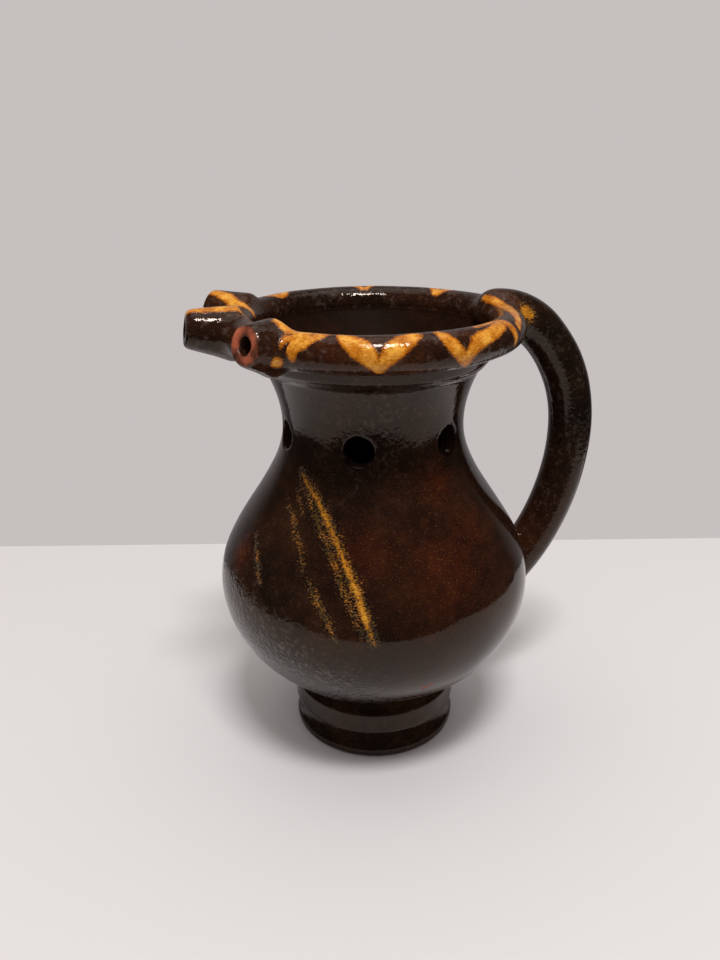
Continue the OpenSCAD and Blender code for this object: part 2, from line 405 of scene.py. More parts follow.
def swell(obj, distance):
    """Moves the whole skin out along its normals, or in if the distance is negative."""
    modify(obj, "DISPLACE", strength=distance * MM, mid_level=0)


def soften(obj, radius, voxel):
    """Fills inner corners with fillets of a radius."""
    skin(obj, voxel)
    swell(obj, radius)
    skin(obj, voxel)
    swell(obj, -radius)


def block(name, low, high):
    """A box between two corners in millimetres."""
    low, high = Vector(low), Vector(high)
    bpy.ops.object.select_all(action="DESELECT")
    bpy.ops.mesh.primitive_cube_add(size=1, location=(low + high) / 2 * MM, scale=(high - low) * MM)
    bpy.context.object.name = name
    bpy.ops.object.transform_apply(location=True, rotation=True, scale=True)
    return bpy.context.object


def belly_patch(name, sink, depth):
    """A piece of the belly's wall behind the handle, sunk below its surface and of a depth."""
    outside = [wall_offset(z, sink) for z in heights(34, 76, 1.0)]
    inside = [wall_offset(z, sink + depth) for z in heights(34, 76, 2.0)]
    patch = turned(name, outside + inside[::-1], steps=240)
    around = block("around", (20, -20, 30), (70, 20, 80))
    cut(patch, around, "INTERSECT")
    discard(around)
    return patch


coarse, fine = 0.7, 0.5
fuse(crown, bar)
soften(crown, 3.2, coarse)
landing_patch = belly_patch("landing_patch", 0.12, 6)
fuse(crown, landing_patch)
soften(crown, 1.1, coarse)
report(crown)

# %% [markdown]
# ## Neck and collar
# The neck was thrown on from the belly, flares to the rim and carries a ledge, the collar, with two
# fine tool lines. Its lathe outline starts below the seam, so that the cut there runs through smooth
# wall. The six holes were pierced through the soft wall, and a bore leads into each spout.

# %% Neck and collar
skirt_z = seam_z - 8
neck_out = [(wall_r(z), z) for z in heights(skirt_z, neck_top_z - 1.4, 1.0)]
ridge_h, ridge_deep = 4.2, 0.3
neck_in = [(inside_r(z) + ridge_deep * math.sin(2 * math.pi * z / ridge_h), z)
           for z in heights(skirt_z, neck_top_z, 0.6)]
ledge_r = neck_top_r + 1.9
ledge = [
    (neck_top_r + 0.55, neck_top_z - 0.9), (neck_top_r + 0.9, neck_top_z - 0.3),
    (neck_top_r + 0.75, neck_top_z + 0.2), (ledge_r - 0.2, neck_top_z + 0.6),
    (ledge_r + 0.15, neck_top_z + 1.2), (ledge_r + 0.3, neck_top_z + 2),
    (ledge_r + 1.0, neck_top_z + 4.1), (ledge_r + 1.0, neck_top_z + 4.7),
    (rim_r - 1, rim_z - 2), (rim_r - rim_tube_r * 0.93, rim_z - rim_tube_r * 0.26),
]
neck_lathe = turned("neck_lathe", neck_out + ledge + neck_in[::-1], steps=240)
fuse(crown, neck_lathe)
skin(crown, fine)
report(crown)

# %% [markdown]
# Holes and bores are cut before a last skin, so smoothing leaves their edges worn round. A smooth
# noise, a few tenths of a millimetre deep, gives all pieces the uneven wall of a hand-made pot. The
# base stays flat, because the jug stands on it.

# %% Holes, bores and the uneven hand
punches, mouths = [], []
for index in range(hole_count):
    turn = math.radians(hole_turn + index * 360 / hole_count)
    outwards = Vector((math.cos(turn), math.sin(turn), 0))
    punches.append(tube_along("punch", Vector((0, 0, hole_z)), outwards,
                              neck_r - 2 * wall, neck_r + wall, hole_r, hole_r))
for name, (_, _, length) in spouts.items():
    start, axis = spout_axis(name)
    punches.append(tube_along("bore", start, axis, 0, length + 2, spout_bore_r, spout_bore_r))
    mouths.append(tube_along("mouth", start, axis, length - 2, length + 1.5,
                             spout_bore_r - 0.4, spout_bore_r + 0.6))
for cutters in (punches, mouths):
    cutter = fuse(*cutters)
    cut(crown, cutter)
    discard(cutter)
skin(crown, fine)
modify(crown, "SMOOTH", factor=0.5, iterations=6)

hand = bpy.data.textures.new("uneven hand", "CLOUDS")
hand.noise_scale = 22 * MM
hand.noise_depth = 1
for obj in (crown, belly, foot):
    above = obj.vertex_groups.new(name="above_table")
    above.add([v.index for v in obj.data.vertices if v.co.z > 0.01 * MM], 1, "REPLACE")
    modify(obj, "DISPLACE", texture=hand, texture_coords="LOCAL", strength=0.5 * MM, mid_level=0.5,
           vertex_group="above_table")
for vertex in foot.data.vertices:
    vertex.co.z = max(vertex.co.z, 0)
report(crown)

# %% [markdown]
# ## Taking the soft form apart
# The finished form is cut into the pieces that the potter made, each with closed sides. The zones
# below share their faces, so no clay is lost or doubled. A cutter carries the bare clay's material,
# which its cut faces take over: inside a joint, unglazed clay meets unglazed clay.

# %% Zones
glaze = bpy.data.materials.new("dark_lead_glaze_over_red_clay")
rim_glaze = bpy.data.materials.new("lead_glaze_with_trailed_slip")
# The inside glaze is thin and dull, and its darker browns are painted shade inside the pot.
inside_glaze_with_painted_shade = bpy.data.materials.new("thin_lead_glaze_swilled_inside_with_painted_shade")
clay = bpy.data.materials.new("fired_red_earthenware")


def coat(obj, material):
    """Gives a mesh one material all over."""
    obj.data.materials.clear()
    obj.data.materials.append(material)
    obj.data.polygons.foreach_set("material_index", [0] * len(obj.data.polygons))
    return obj


def of_clay(obj):
    return coat(obj, clay)


root_x = rim_r + 5
joint_out, joint_in = (39.14, rim_z - 4.64), (36.74, rim_z - 1.41)
under_rim = [(44, neck_top_z), (41, neck_top_z + 3), joint_out, joint_in]
handle_room, sleeve_r, sleeve_from = 4.2, 9.9, 5
zones = {
    "neck": [(0, seam_z), (46, seam_z), (46, neck_top_z), (0, neck_top_z)],
    "neck_collar": [(0, neck_top_z), *under_rim, (0, joint_in[1])],
    "rim_trough": [*under_rim, (20, joint_in[1]), (20, rim_z), (70, rim_z), (70, neck_top_z)],
    "rim_cover": [(20, rim_z), (70, rim_z), (70, rim_z + 20), (20, rim_z + 20)],
}
for obj in (crown, belly, foot):
    coat(obj, glaze)
whole = copy_of(crown, "whole")

pieces = {"foot": foot, "belly": belly}
handle_side = of_clay(block("handle_side", (root_x, -13, 30), (100, 13, 170)))
handle = copy_of(crown, "bent_handle")
cut(handle, handle_side, "INTERSECT")
round_handle = of_clay(bent_tube("round_handle", handle_r + handle_room))
skin(round_handle, coarse)
of_clay(round_handle)
cut(handle, round_handle, "INTERSECT")
belly_core = of_clay(belly_patch("belly_core", 1.2, 9))
cut(handle, belly_core)
handle_bore = bent_tube("handle_bore", handle_bore_r)
skin(handle_bore, 0.4)
of_clay(handle_bore)
cut(handle, handle_bore)
pieces["handle"] = handle
cut(crown, handle_side)
report(handle)

for name, (_, _, length) in spouts.items():
    start, axis = spout_axis(name)
    sleeve = of_clay(tube_along("sleeve", start, axis, sleeve_from, length + 4, sleeve_r, sleeve_r))
    spout = copy_of(crown, "rolled_" + name)
    cut(spout, sleeve, "INTERSECT")
    cut(crown, sleeve)
    discard(sleeve)
    pieces[name] = spout
    report(spout)

bpy.ops.object.select_all(action="DESELECT")
bpy.ops.mesh.primitive_torus_add(
    location=(0, 0, rim_z * MM), major_radius=rim_r * MM, minor_radius=channel_r * MM,
    major_segments=180, minor_segments=24)
channel = of_clay(bpy.context.object)
bpy.ops.object.transform_apply(location=True, rotation=True, scale=True)
for name, outline in zones.items():
    zone = of_clay(turned("zone", outline, steps=240))
    piece = copy_of(crown, "thrown_" + name)
    cut(piece, zone, "INTERSECT")
    if name.startswith("rim"):
        cut(piece, channel)
    discard(zone)
    pieces[name] = piece
    report(piece)

port = tube_along("port", Vector((0, 0, land_z)), Vector((1, 0, 0)), 36, 60, handle_bore_r, handle_bore_r)
cut(belly, of_clay(port))
discard(crown, handle_side, round_handle, belly_core, handle_bore, channel, port)

# %% [markdown]
# A cut leaves the surface beside it with fewer neighbours, which would bend its shading and show the
# joint as a line. The corners along each cut therefore get the normal of the form before it was cut.

# %% Shading along the cuts
touching = 0.05 * MM


def keep_shading(piece, tree):
    """Gives the glazed corners along a piece's cuts the normals of the whole form."""
    mesh = piece.data
    for polygon in mesh.polygons:
        polygon.use_smooth = polygon.material_index == 0
    glazed, bare = set(), set()
    for polygon in mesh.polygons:
        (bare if polygon.material_index else glazed).update(polygon.vertices)
    normals = {}
    for index in glazed & bare:
        place, _, face, distance = tree.find_nearest(mesh.vertices[index].co)
        if distance < touching:
            ring = [whole.data.vertices[i] for i in whole.data.polygons[face].vertices]
            weights = poly_3d_calc([v.co for v in ring], place)
            normals[index] = sum((v.normal * w for v, w in zip(ring, weights)), Vector()).normalized()
    corners = [(0, 0, 0)] * len(mesh.loops)
    for polygon in mesh.polygons:
        if polygon.material_index == 0:
            for loop in polygon.loop_indices:
                corners[loop] = normals.get(mesh.loops[loop].vertex_index, (0, 0, 0))
    mesh.normals_split_custom_set(corners)
    print(piece.name, len(normals), "corners kept")


tree = BVHTree.FromObject(whole, bpy.context.evaluated_depsgraph_get())
for name, piece in pieces.items():
    if name not in ("foot", "belly"):
        keep_shading(piece, tree)
discard(whole)
for piece in (foot, belly):
    pick(piece)
    bpy.ops.object.shade_smooth_by_angle(angle=math.radians(35))

# %% [markdown]
# ## Luting
# Where the handle meets the rim and the belly, a coil of soft clay was pressed under the joint and left
# rough. A torus is cut in half, skinned, roughened with a fine noise and smoothed a little.

# %% Luting
standoff = 0.6
rim_turn = math.asin((rim_tube_r + standoff) / top_arc_r)
leave_rim = handle_arcs[0][0] + Vector((math.sin(rim_turn), 0, math.cos(rim_turn))) * top_arc_r
leave_belly = handle_land + Vector((math.sin(low_turn), 0, math.cos(low_turn))) * standoff
rough = bpy.data.textures.new("pressed clay", "CLOUDS")
rough.noise_scale = 2.2 * MM
rough.noise_depth = 2


def coil(name, place, turn):
    """Half a coil pressed under the handle, at a place and a downward heading of the handle."""
    bpy.ops.object.select_all(action="DESELECT")
    bpy.ops.mesh.primitive_torus_add(
        location=place * MM, rotation=(0, math.pi / 2 + turn, 0), major_radius=(handle_r - 0.2) * MM,
        minor_radius=coil_r * MM, major_segments=64, minor_segments=20)
    obj = bpy.context.object
    obj.name = name
    bpy.ops.object.transform_apply(location=True, rotation=True, scale=True)
    bpy.ops.object.mode_set(mode="EDIT")
    bpy.ops.mesh.select_all(action="SELECT")
    bpy.ops.mesh.bisect(plane_co=place * MM, plane_no=(0, 0, 1), use_fill=True, clear_outer=True)
    bpy.ops.object.mode_set(mode="OBJECT")
    skin(obj, 0.3)
    modify(obj, "DISPLACE", texture=rough, texture_coords="LOCAL", strength=0.9 * MM, mid_level=0.5)
    modify(obj, "SMOOTH", factor=0.5, iterations=3)
    coat(obj, glaze)
    pick(obj)
    bpy.ops.object.shade_smooth()
    report(obj)
    return obj


pieces["handle_top_luting"] = coil("pressed_coil_top", leave_rim, rim_turn)
pieces["handle_foot_luting"] = coil("pressed_coil_foot", leave_belly, math.pi / 2 + low_turn)

# %% [markdown]
# ## Where the slip runs
# Before glazing, the potter trailed light slip along the rim in a zigzag and let streaks run down the
# belly. A stroke is a few points on the surface, each with a half width. Every vertex
# stores how deep it lies inside the nearest stroke, in millimetres, and the shader draws the edge.

# %% Strokes
def on_rim(turn, tilt):
    """A point on the rim's tube, at an angle round the jug and an angle up from its outermost line."""
    turn, tilt = math.radians(turn), math.radians(tilt)
    out = rim_r + rim_tube_r * math.cos(tilt)
    return Vector((out * math.cos(turn), out * math.sin(turn), rim_z + rim_tube_r * math.sin(tilt)))


def on_wall(turn, z):
    """A point on the thrown wall, at an angle round the jug and a height."""
    turn = math.radians(turn)
    return Vector((wall_r(z) * math.cos(turn), wall_r(z) * math.sin(turn), z))


def on_spout(name, along, turn):
    """A point on a spout, at a distance along it and an angle over its top from the camera's side."""
    length = spouts[name][2]
    start, axis = spout_axis(name)
    side = axis.cross(Vector((0, 0, 1))).normalized()
    side *= -1 if side.y > 0 else 1
    top = side.cross(axis).normalized()
    top *= -1 if top.z < 0 else 1
    radius = spout_root_r + (spout_tip_r - spout_root_r) * along / length
    turn = math.radians(turn)
    return start + axis * along + (side * math.cos(turn) + top * math.sin(turn)) * radius


def on_skin(place):
    """The nearest point on the finished rim, which the soft joints have moved a little."""
    return tree.find_nearest(place * MM)[0] / MM


def trail(place, points, thin=0, spacing=0.4):
    """Samples a stroke: its points are two surface coordinates and a half width each."""
    samples = []
    for (a0, b0, w0), (a1, b1, w1) in zip(points, points[1:]):
        length = (place(a1, b1) - place(a0, b0)).length
        count = max(1, round(length / spacing))
        for i in range(count + 1):
            t = i / count
            samples.append((place(a0 + (a1 - a0) * t, b0 + (b1 - b0) * t), w0 + (w1 - w0) * t - thin))
    return samples


zigzag = [
    [(-118.5, 92, 1.4), (-116, 70, 2.6), (-111.2, 34, 3.2), (-107.9, 5, 2.7), (-104.6, -40, 1.2),
     (-102.9, -5, 2.2), (-100.4, 25, 2.9), (-96.4, 52, 3.0), (-92.5, 72, 2.2)],
    [(-83.5, 78, 1.3), (-82, 60, 2.0), (-80.5, 35, 2.2), (-78.2, 6, 2.1), (-75.7, -23, 1.6),
     (-73.4, -50, 0.9), (-73.6, -6, 1.9), (-70.6, 22, 2.4), (-65.6, 38, 2.4), (-59.9, 48, 2.4),
     (-53.8, 65, 2.2)],
    [(-65.3, 86, 1.2), (-56, 96, 1.6), (-49.7, 72, 1.9), (-48.6, 41, 1.9), (-47.4, 8, 1.5),
     (-47.6, -13, 1.0)],
    [(-1.6, 126, 1.4), (-11.2, 109, 1.8), (-25.9, 91, 2.0), (-35.6, 62, 1.8), (-42.6, 34, 1.5)],
    [(-122.5, 88, 0.8), (-125, 76, 1.7), (-129, 62, 2.7), (-132.5, 44, 3.2), (-133.8, 20, 2.4),
     (-133.6, -4, 1.3)],
    [(-133, 70, 1.6), (-137, 48, 1.5), (-138, 20, 0.5)],
    [(-139.5, -15, 1.7), (-140, -20, 1.7)],
    [(-124, 86, 1.2), (-132, 86, 1.8), (-142, 86, 2.1), (-152, 88, 2.0), (-160, 90, 1.8)],
    [(8, 80, 1.6), (14, 20, 2.0), (21, -38, 1.3), (29, 20, 2.1), (37.7, 122, 1.7)],
    [(39, 118, 1.7), (48, 20, 2.2), (57, -38, 1.3), (67, 20, 2.2), (76, 113, 1.2)],
    [(78, 113, 1.2), (88, 20, 2.2), (99, -38, 1.3), (110, 20, 2.2), (122, 108, 1.8)],
    [(124, 110, 1.9), (130, 80, 1.9), (133, 30, 1.5)],
]
spout_trails = {
    "spout_middle": [(-2, 76, 2.2), (5, 80, 2.6), (10, 82, 2.6), (15, 86, 2.2)],
    "spout_rear": [(-3, 20, 1.6), (2, 36, 1.9), (7, 58, 2.0), (13.5, 80, 2.2)],
}
handle_blob = [(Vector((48.6, -7.3, 146.4)), 2.4), (Vector((50.0, -7.4, 145.6)), 2.2)]
rim_samples = handle_blob + [s for stroke in zigzag for s in trail(on_rim, stroke)]
for name, stroke in spout_trails.items():
    rim_samples += trail(lambda along, turn: on_spout(name, along, turn), stroke)
rim_samples = [(on_skin(place), width) for place, width in rim_samples]

# Each streak starts with how thin it ran, which leaves only scattered grains of it.
streaks = [
    (0.1, [(-151.3, 104, 0.5), (-143, 100.3, 0.9), (-135.1, 97.1, 1.1), (-124.3, 89.8, 1.1),
           (-117.6, 82.6, 1.3), (-112.4, 75.4, 1.4), (-109.6, 69.1, 1.3), (-107, 62, 0.9)]),
    (1.6, [(-152, 102.6, 1.2), (-140.5, 97, 1.7), (-128, 88.4, 1.8), (-120.4, 80.6, 1.9),
           (-115, 72.5, 1.8), (-110.5, 64, 1.3)]),
    (1.3, [(-150, 98.5, 1.2), (-142, 93, 0.8)]),
    (1.4, [(-154.7, 94.7, 1.0), (-146, 91, 1.6), (-138, 84.5, 1.3), (-134, 79.4, 1.0)]),
    (1.0, [(-131, 77.5, 0.9), (-127, 73.3, 1.5), (-122.5, 68, 1.4), (-119, 62, 0.7)]),
    (1.2, [(-165.8, 83.4, 0.9), (-158, 78.5, 1.4), (-151.6, 72.5, 0.8)]),
]
wall_samples = [s for thin, stroke in streaks for s in trail(on_wall, stroke, thin)]
print(len(rim_samples), "samples on the rim,", len(wall_samples), "on the belly")

# %% [markdown]
# Four numbers are stored on each vertex: the slip just described, how far a place lies inside worn or
# chipped clay, how ruddy the glaze burnt, and how pitted it is, since it boiled more on the left.
# The faces inside the pot take a glaze of their own, which was only swilled round and is thin and dull. Its
# darker browns are painted shade inside the pot.

# %% Painting the vertices
far_out, margin = -8.0, 0.5


def paint(piece, attribute, values):
    layer = piece.data.attributes.new(attribute, "FLOAT", "POINT")
    layer.data.foreach_set("value", np.asarray(values, np.float32))


def places(piece):
    """Vertex coordinates in millimetres."""
    flat = np.empty(len(piece.data.vertices) * 3, np.float32)
    piece.data.vertices.foreach_get("co", flat)
    return flat.reshape(-1, 3) / MM


def swill(piece, inner):
    """Gives the glazed faces whose corners are all inside the pot the thin glaze, whose darker browns are
    painted shade.
    """
    piece.data.materials.append(inside_glaze_with_painted_shade)
    for face in piece.data.polygons:
        glazed = piece.data.materials[face.material_index] == glaze
        if glazed and all(inner[corner] for corner in face.vertices):
            face.material_index = len(piece.data.materials) - 1


def middle_r(z):
    """Radius of the middle of the wall, which leans out with the collar above the neck."""
    return wall_r(min(z, neck_top_z)) - wall / 2 + 0.6 * max(0, z - neck_top_z)


def inside_stroke(piece, samples):
    """How deep each vertex lies inside the nearest stroke."""
    search = kdtree.KDTree(len(samples))
    for index, (place, _) in enumerate(samples):
        search.insert(place, index)
    search.balance()
    depth = []
    for place in places(piece):
        _, index, distance = search.find(place)
        depth.append(max(far_out, samples[index][1] - distance))
    return depth


def near(piece, spots):
    """How close each vertex is to soft round spots, each with a place, a reach and a strength."""
    total = np.zeros(len(piece.data.vertices))
    for place, reach, strength in spots:
        gap = np.linalg.norm(places(piece) - np.array(place), axis=1)
        total += strength * np.exp(-(gap / reach) ** 2)
    return np.clip(total, 0, 1)


ruddy_spots = [
    (on_wall(-76, 76), 34, 0.09), (on_wall(-80, 80), 10, 0.17), (on_wall(-70, 101), 6, 0.22),
    (on_wall(-112, 86), 9, 0.16), (on_wall(-60, 86), 7, 0.13), (on_wall(-170, 76), 5, 0.4),
    (on_rim(-121, 17), 3.5, 0.12), (on_wall(20, 70), 26, 0.2), (on_wall(120, 80), 22, 0.2),
]
pitted_spots = [
    (on_wall(-160, 48), 18, 1), (on_wall(-138, 42), 15, 1.35), (on_wall(-120, 37), 13, 1.25),
    (on_wall(-105, 124), 22, 0.4), (on_wall(150, 60), 30, 0.8), (on_wall(40, 45), 26, 0.7),
]
evenly_pitted = {"rim": 0.4, "spout": 0.4, "handle": 0.25, "foot": 0.1}
spout_wear = {"spout_middle": -0.5, "spout_front": 0.5, "spout_rear": -0.9}
chip = trail(on_wall, [(-88, 40.7, 0.8), (-85, 42.2, 0.5)])

for name, piece in pieces.items():
    of_rim = name.startswith(("rim", "spout", "handle"))
    paint(piece, "slip", inside_stroke(piece, rim_samples if of_rim else wall_samples))
    paint(piece, "ruddy", near(piece, ruddy_spots))
    pitted = near(piece, pitted_spots)
    for kind, level in evenly_pitted.items():
        if name.startswith(kind):
            pitted[:] = level
    paint(piece, "pitted", pitted)
    worn = np.full(len(piece.data.vertices), far_out)
    if name == "belly":
        worn = inside_stroke(piece, chip)
    if name in spouts:
        start, axis = spout_axis(name)
        worn = (places(piece) - np.array(start)) @ np.array(axis) - spouts[name][2] + spout_wear[name]
    paint(piece, "worn", worn)
    if name in ("belly", "neck", "neck_collar"):
        swill(piece, [math.hypot(x, y) < middle_r(z) for x, y, z in places(piece).tolist()])
    if name == "foot":
        swill(piece, [math.hypot(x, y) < cup_r + margin and z > floor_z - margin
                      for x, y, z in places(piece).tolist()])
print("painted", len(pieces), "pieces")

# %% [markdown]
# ## Finishes
# The jug is red earthenware under a lead glaze that iron has turned almost black. A glaze is a thin
# coat of glass: its gloss comes from a smooth dielectric surface, its depth from colour below it.
# All patterns read object coordinates in metres, so a noise of scale one over its size has that size.

# %% Node tools
def srgb(code):
    """A linear colour from an sRGB hex code."""
    values = [int(code[i:i + 2], 16) / 255 for i in (1, 3, 5)]
    linear = [v / 12.92 if v <= 0.04045 else ((v + 0.055) / 1.055) ** 2.4 for v in values]
    return (*linear, 1)


def add(nodes, kind, inputs=None, **settings):
    """Adds a node with its settings, and links or sets its inputs."""
    node = nodes.nodes.new(kind)
    for key, value in settings.items():
        setattr(node, key, value)
    for socket, value in (inputs or {}).items():
        if isinstance(value, bpy.types.NodeSocket):
            nodes.links.new(value, node.inputs[socket])
        else:
            node.inputs[socket].default_value = value
    return node


def per_mm(size):
    """The scale that gives a texture's cells a size in millimetres."""
    return 1 / (size * MM)

# %% [markdown]
# All three glazes are built the same way. Broad clouds run from black to brown, with oxblood where it burnt
# ruddy, and fine dashes show the grain of the clay. Dull flecks lie where bubbles burst. The slip shines
# through along the strokes: crisp where it was trailed thick, in grains where it ran thin.

# %% Glazes
oxblood, ochre_clay, dull_fleck = "#561f0c", "#7c5428", "#7d6e66"
dark_brick, pale_brick = "#5c291b", "#aa5739"
glass_tint = "#f6e4d6"


def glaze_shader(material, browns, ambers, ragged, soft, grain_mm, gloss=0.36, dull=0.0):
    """A glaze in four browns over slip in three ambers, whose edge is ragged and soft by millimetres."""
    material.use_nodes = True
    nodes = material.node_tree
    nodes.nodes.clear()
    place = add(nodes, "ShaderNodeTexCoord").outputs["Object"]
    slip, ruddy, worn, pitted = [
        add(nodes, "ShaderNodeAttribute", attribute_name=name).outputs["Fac"]
        for name in ("slip", "ruddy", "worn", "pitted")]
    # Throwing draws the grain out sideways, so its noise is squeezed in height.
    drawn = add(nodes, "ShaderNodeMapping", {"Vector": place, "Scale": (1, 1, 2.2)}).outputs[0]
    cloud = add(nodes, "ShaderNodeTexNoise", {
        "Vector": place, "Scale": per_mm(24), "Detail": 4.0}).outputs["Fac"]
    mottle = add(nodes, "ShaderNodeTexNoise", {
        "Vector": place, "Scale": per_mm(4), "Detail": 3.0}).outputs["Fac"]
    grain = add(nodes, "ShaderNodeTexNoise", {
        "Vector": drawn, "Scale": per_mm(grain_mm), "Detail": 3.0, "Roughness": 0.65}).outputs["Fac"]
    peel = add(nodes, "ShaderNodeTexNoise", {
        "Vector": place, "Scale": per_mm(1.4), "Detail": 2.0}).outputs["Fac"]

    # The glaze: black where it lies thick, brown where it is thin, broken up by the grain.
    shade = add(nodes, "ShaderNodeMath", {0: mottle, 1: 0.4, 2: cloud},
                operation="MULTIPLY_ADD").outputs[0]
    shade = add(nodes, "ShaderNodeMath", {0: grain, 1: 0.6, 2: shade},
                operation="MULTIPLY_ADD").outputs[0]
    shade = add(nodes, "ShaderNodeMath", {0: pitted, 1: -0.2, 2: shade},
                operation="MULTIPLY_ADD").outputs[0]
    shade = add(nodes, "ShaderNodeMapRange", {
        "Value": shade, "From Min": 0.65, "From Max": 1.35}).outputs[0]
    body = add(nodes, "ShaderNodeValToRGB", {"Fac": shade})
    body.color_ramp.elements.new(0.4)
    body.color_ramp.elements.new(0.7)
    for element, code in zip(body.color_ramp.elements, browns):
        element.color = srgb(code)
    colour = body.outputs["Color"]
    burnt = add(nodes, "ShaderNodeMapRange", {"Value": mottle, "From Min": 0.2, "From Max": 0.8,
                                              "To Min": 0.4, "To Max": 1.6}).outputs[0]
    burnt = add(nodes, "ShaderNodeMath", {0: burnt, 1: ruddy}, operation="MULTIPLY").outputs[0]
    colour = add(nodes, "ShaderNodeMix", {0: burnt, 6: colour, 7: srgb(oxblood)},
                 data_type="RGBA").outputs[2]

    # Fine dashes of ochre clay, and greyish flecks where the glaze is pitted and dull.
    dash = add(nodes, "ShaderNodeMapRange", {
        "Value": grain, "From Min": 0.58, "From Max": 0.72}).outputs[0]
    ochre = add(nodes, "ShaderNodeMath", {0: ruddy, 1: 1.8, 2: 0.08},
                operation="MULTIPLY_ADD").outputs[0]
    dash = add(nodes, "ShaderNodeMath", {0: dash, 1: ochre}, operation="MULTIPLY").outputs[0]
    colour = add(nodes, "ShaderNodeMix", {0: dash, 6: colour, 7: srgb(ochre_clay)},
                 data_type="RGBA").outputs[2]
    fleck = add(nodes, "ShaderNodeMath", {0: mottle, 1: 0.5, 2: peel},
                operation="MULTIPLY_ADD").outputs[0]
    fleck = add(nodes, "ShaderNodeMapRange", {"Value": fleck, "From Min": 0.8, "From Max": 1.0,
                                              "To Max": 0.4}).outputs[0]
    fleck = add(nodes, "ShaderNodeMath", {0: fleck, 1: pitted}, operation="MULTIPLY").outputs[0]
    colour = add(nodes, "ShaderNodeMix", {0: fleck, 6: colour, 7: srgb(dull_fleck)},
                 data_type="RGBA").outputs[2]

    # The slip, with grains along its edge and brown mottling inside.
    edge = add(nodes, "ShaderNodeMath", {0: grain, 1: 0.5}, operation="SUBTRACT").outputs[0]
    edge = add(nodes, "ShaderNodeMath", {0: edge, 1: ragged, 2: slip},
               operation="MULTIPLY_ADD").outputs[0]
    mask = add(nodes, "ShaderNodeMapRange", {"Value": edge, "From Min": -soft, "From Max": soft},
               interpolation_type="SMOOTHSTEP").outputs[0]
    thick = add(nodes, "ShaderNodeMapRange", {"Value": slip, "From Max": 1.0}).outputs[0]
    tone = add(nodes, "ShaderNodeMath", {0: grain, 1: 0.8, 2: mottle},
               operation="MULTIPLY_ADD").outputs[0]
    tone = add(nodes, "ShaderNodeMath", {0: thick, 1: 0.35, 2: tone},
               operation="MULTIPLY_ADD").outputs[0]
    tone = add(nodes, "ShaderNodeMapRange", {
        "Value": tone, "From Min": 0.84, "From Max": 1.46}).outputs[0]
    amber = add(nodes, "ShaderNodeValToRGB", {"Fac": tone})
    amber.color_ramp.elements.new(0.5)
    for element, code in zip(amber.color_ramp.elements, ambers):
        element.color = srgb(code)
    colour = add(nodes, "ShaderNodeMix", {0: mask, 6: colour, 7: amber.outputs["Color"]},
                 data_type="RGBA").outputs[2]

    # Lips have worn the glaze off the ends of the spouts, down to the red clay.
    bare = add(nodes, "ShaderNodeMath", {0: mottle, 1: 2.0, 2: worn},
               operation="MULTIPLY_ADD").outputs[0]
    bare = add(nodes, "ShaderNodeMapRange", {
        "Value": bare, "From Min": 0.7, "From Max": 1.4}).outputs[0]
    blush = add(nodes, "ShaderNodeMapRange", {
        "Value": mottle, "From Min": 0.35, "From Max": 0.65}).outputs[0]
    brick = add(nodes, "ShaderNodeMix", {0: blush, 6: srgb(dark_brick), 7: srgb(pale_brick)},
                data_type="RGBA").outputs[2]
    colour = add(nodes, "ShaderNodeMix", {0: bare, 6: colour, 7: brick},
                 data_type="RGBA").outputs[2]

    # Gloss: smooth where the melt ran, duller in the pits and on bare clay.
    rough = add(nodes, "ShaderNodeMapRange", {"Value": mottle, "From Min": 0.3, "From Max": 0.75,
                                              "To Min": 0.05 + dull, "To Max": 0.16 + dull}).outputs[0]
    rough = add(nodes, "ShaderNodeMath", {0: fleck, 1: 0.5, 2: rough},
                operation="MULTIPLY_ADD").outputs[0]
    rough = add(nodes, "ShaderNodeMix", {0: bare, 2: rough, 3: 0.8}).outputs[0]

    # Relief: the orange peel of the melt, deeper where it is pitted, and slip that stands a little proud.
    deep = add(nodes, "ShaderNodeMapRange", {
        "Value": pitted, "To Min": 0.03 * MM, "To Max": 0.36 * MM}).outputs[0]
    skin_bump = add(nodes, "ShaderNodeBump", {"Height": peel, "Strength": 1.0, "Distance": deep})
    slip_bump = add(nodes, "ShaderNodeBump", {
        "Height": mask, "Strength": 1.0, "Distance": 0.1 * MM, "Normal": skin_bump.outputs[0]})
    shader = add(nodes, "ShaderNodeBsdfPrincipled", {
        "Base Color": colour, "Roughness": rough, "IOR": 1.5, "Specular IOR Level": gloss,
        "Specular Tint": srgb(glass_tint), "Normal": slip_bump.outputs[0]})
    add(nodes, "ShaderNodeOutputMaterial", {"Surface": shader.outputs[0]})
    print(material.name, len(nodes.nodes), "nodes")


# Thick amber slip under clear glaze: glossy, warm, with brown where it ran thin.
glaze_shader(rim_glaze, ("#150d09", "#2a170e", "#402312", "#523018"), ("#72390d", "#b06818", "#da9d3d"),
             ragged=1.2, soft=0.32, grain_mm=1.0)
# Thin slip that broke up as it ran: grains of amber in a nearly black, glassy coat.
glaze_shader(glaze, ("#0d0a09", "#180f0a", "#27170d", "#3a2212"), ("#4a360c", "#a2661a", "#cc922e"),
             ragged=10.0, soft=0.6, grain_mm=0.7)
# Thin glaze that soaked into the clay: a dull red brown with hardly any shine. Its browns are darker than
# the outside's, as painted shade inside the pot.
glaze_shader(inside_glaze_with_painted_shade, ("#0e0705", "#180c07", "#231109", "#30180c"), ("#4a360c", "#a2661a", "#cc922e"),
             ragged=10.0, soft=0.6, grain_mm=0.7, gloss=0.03, dull=0.45)

# %% [markdown]
# Where two pieces meet, in the rim's channel and in the handle's bore, the clay is bare. Unglazed
# earthenware is matt and brick red, with paler and darker grains.

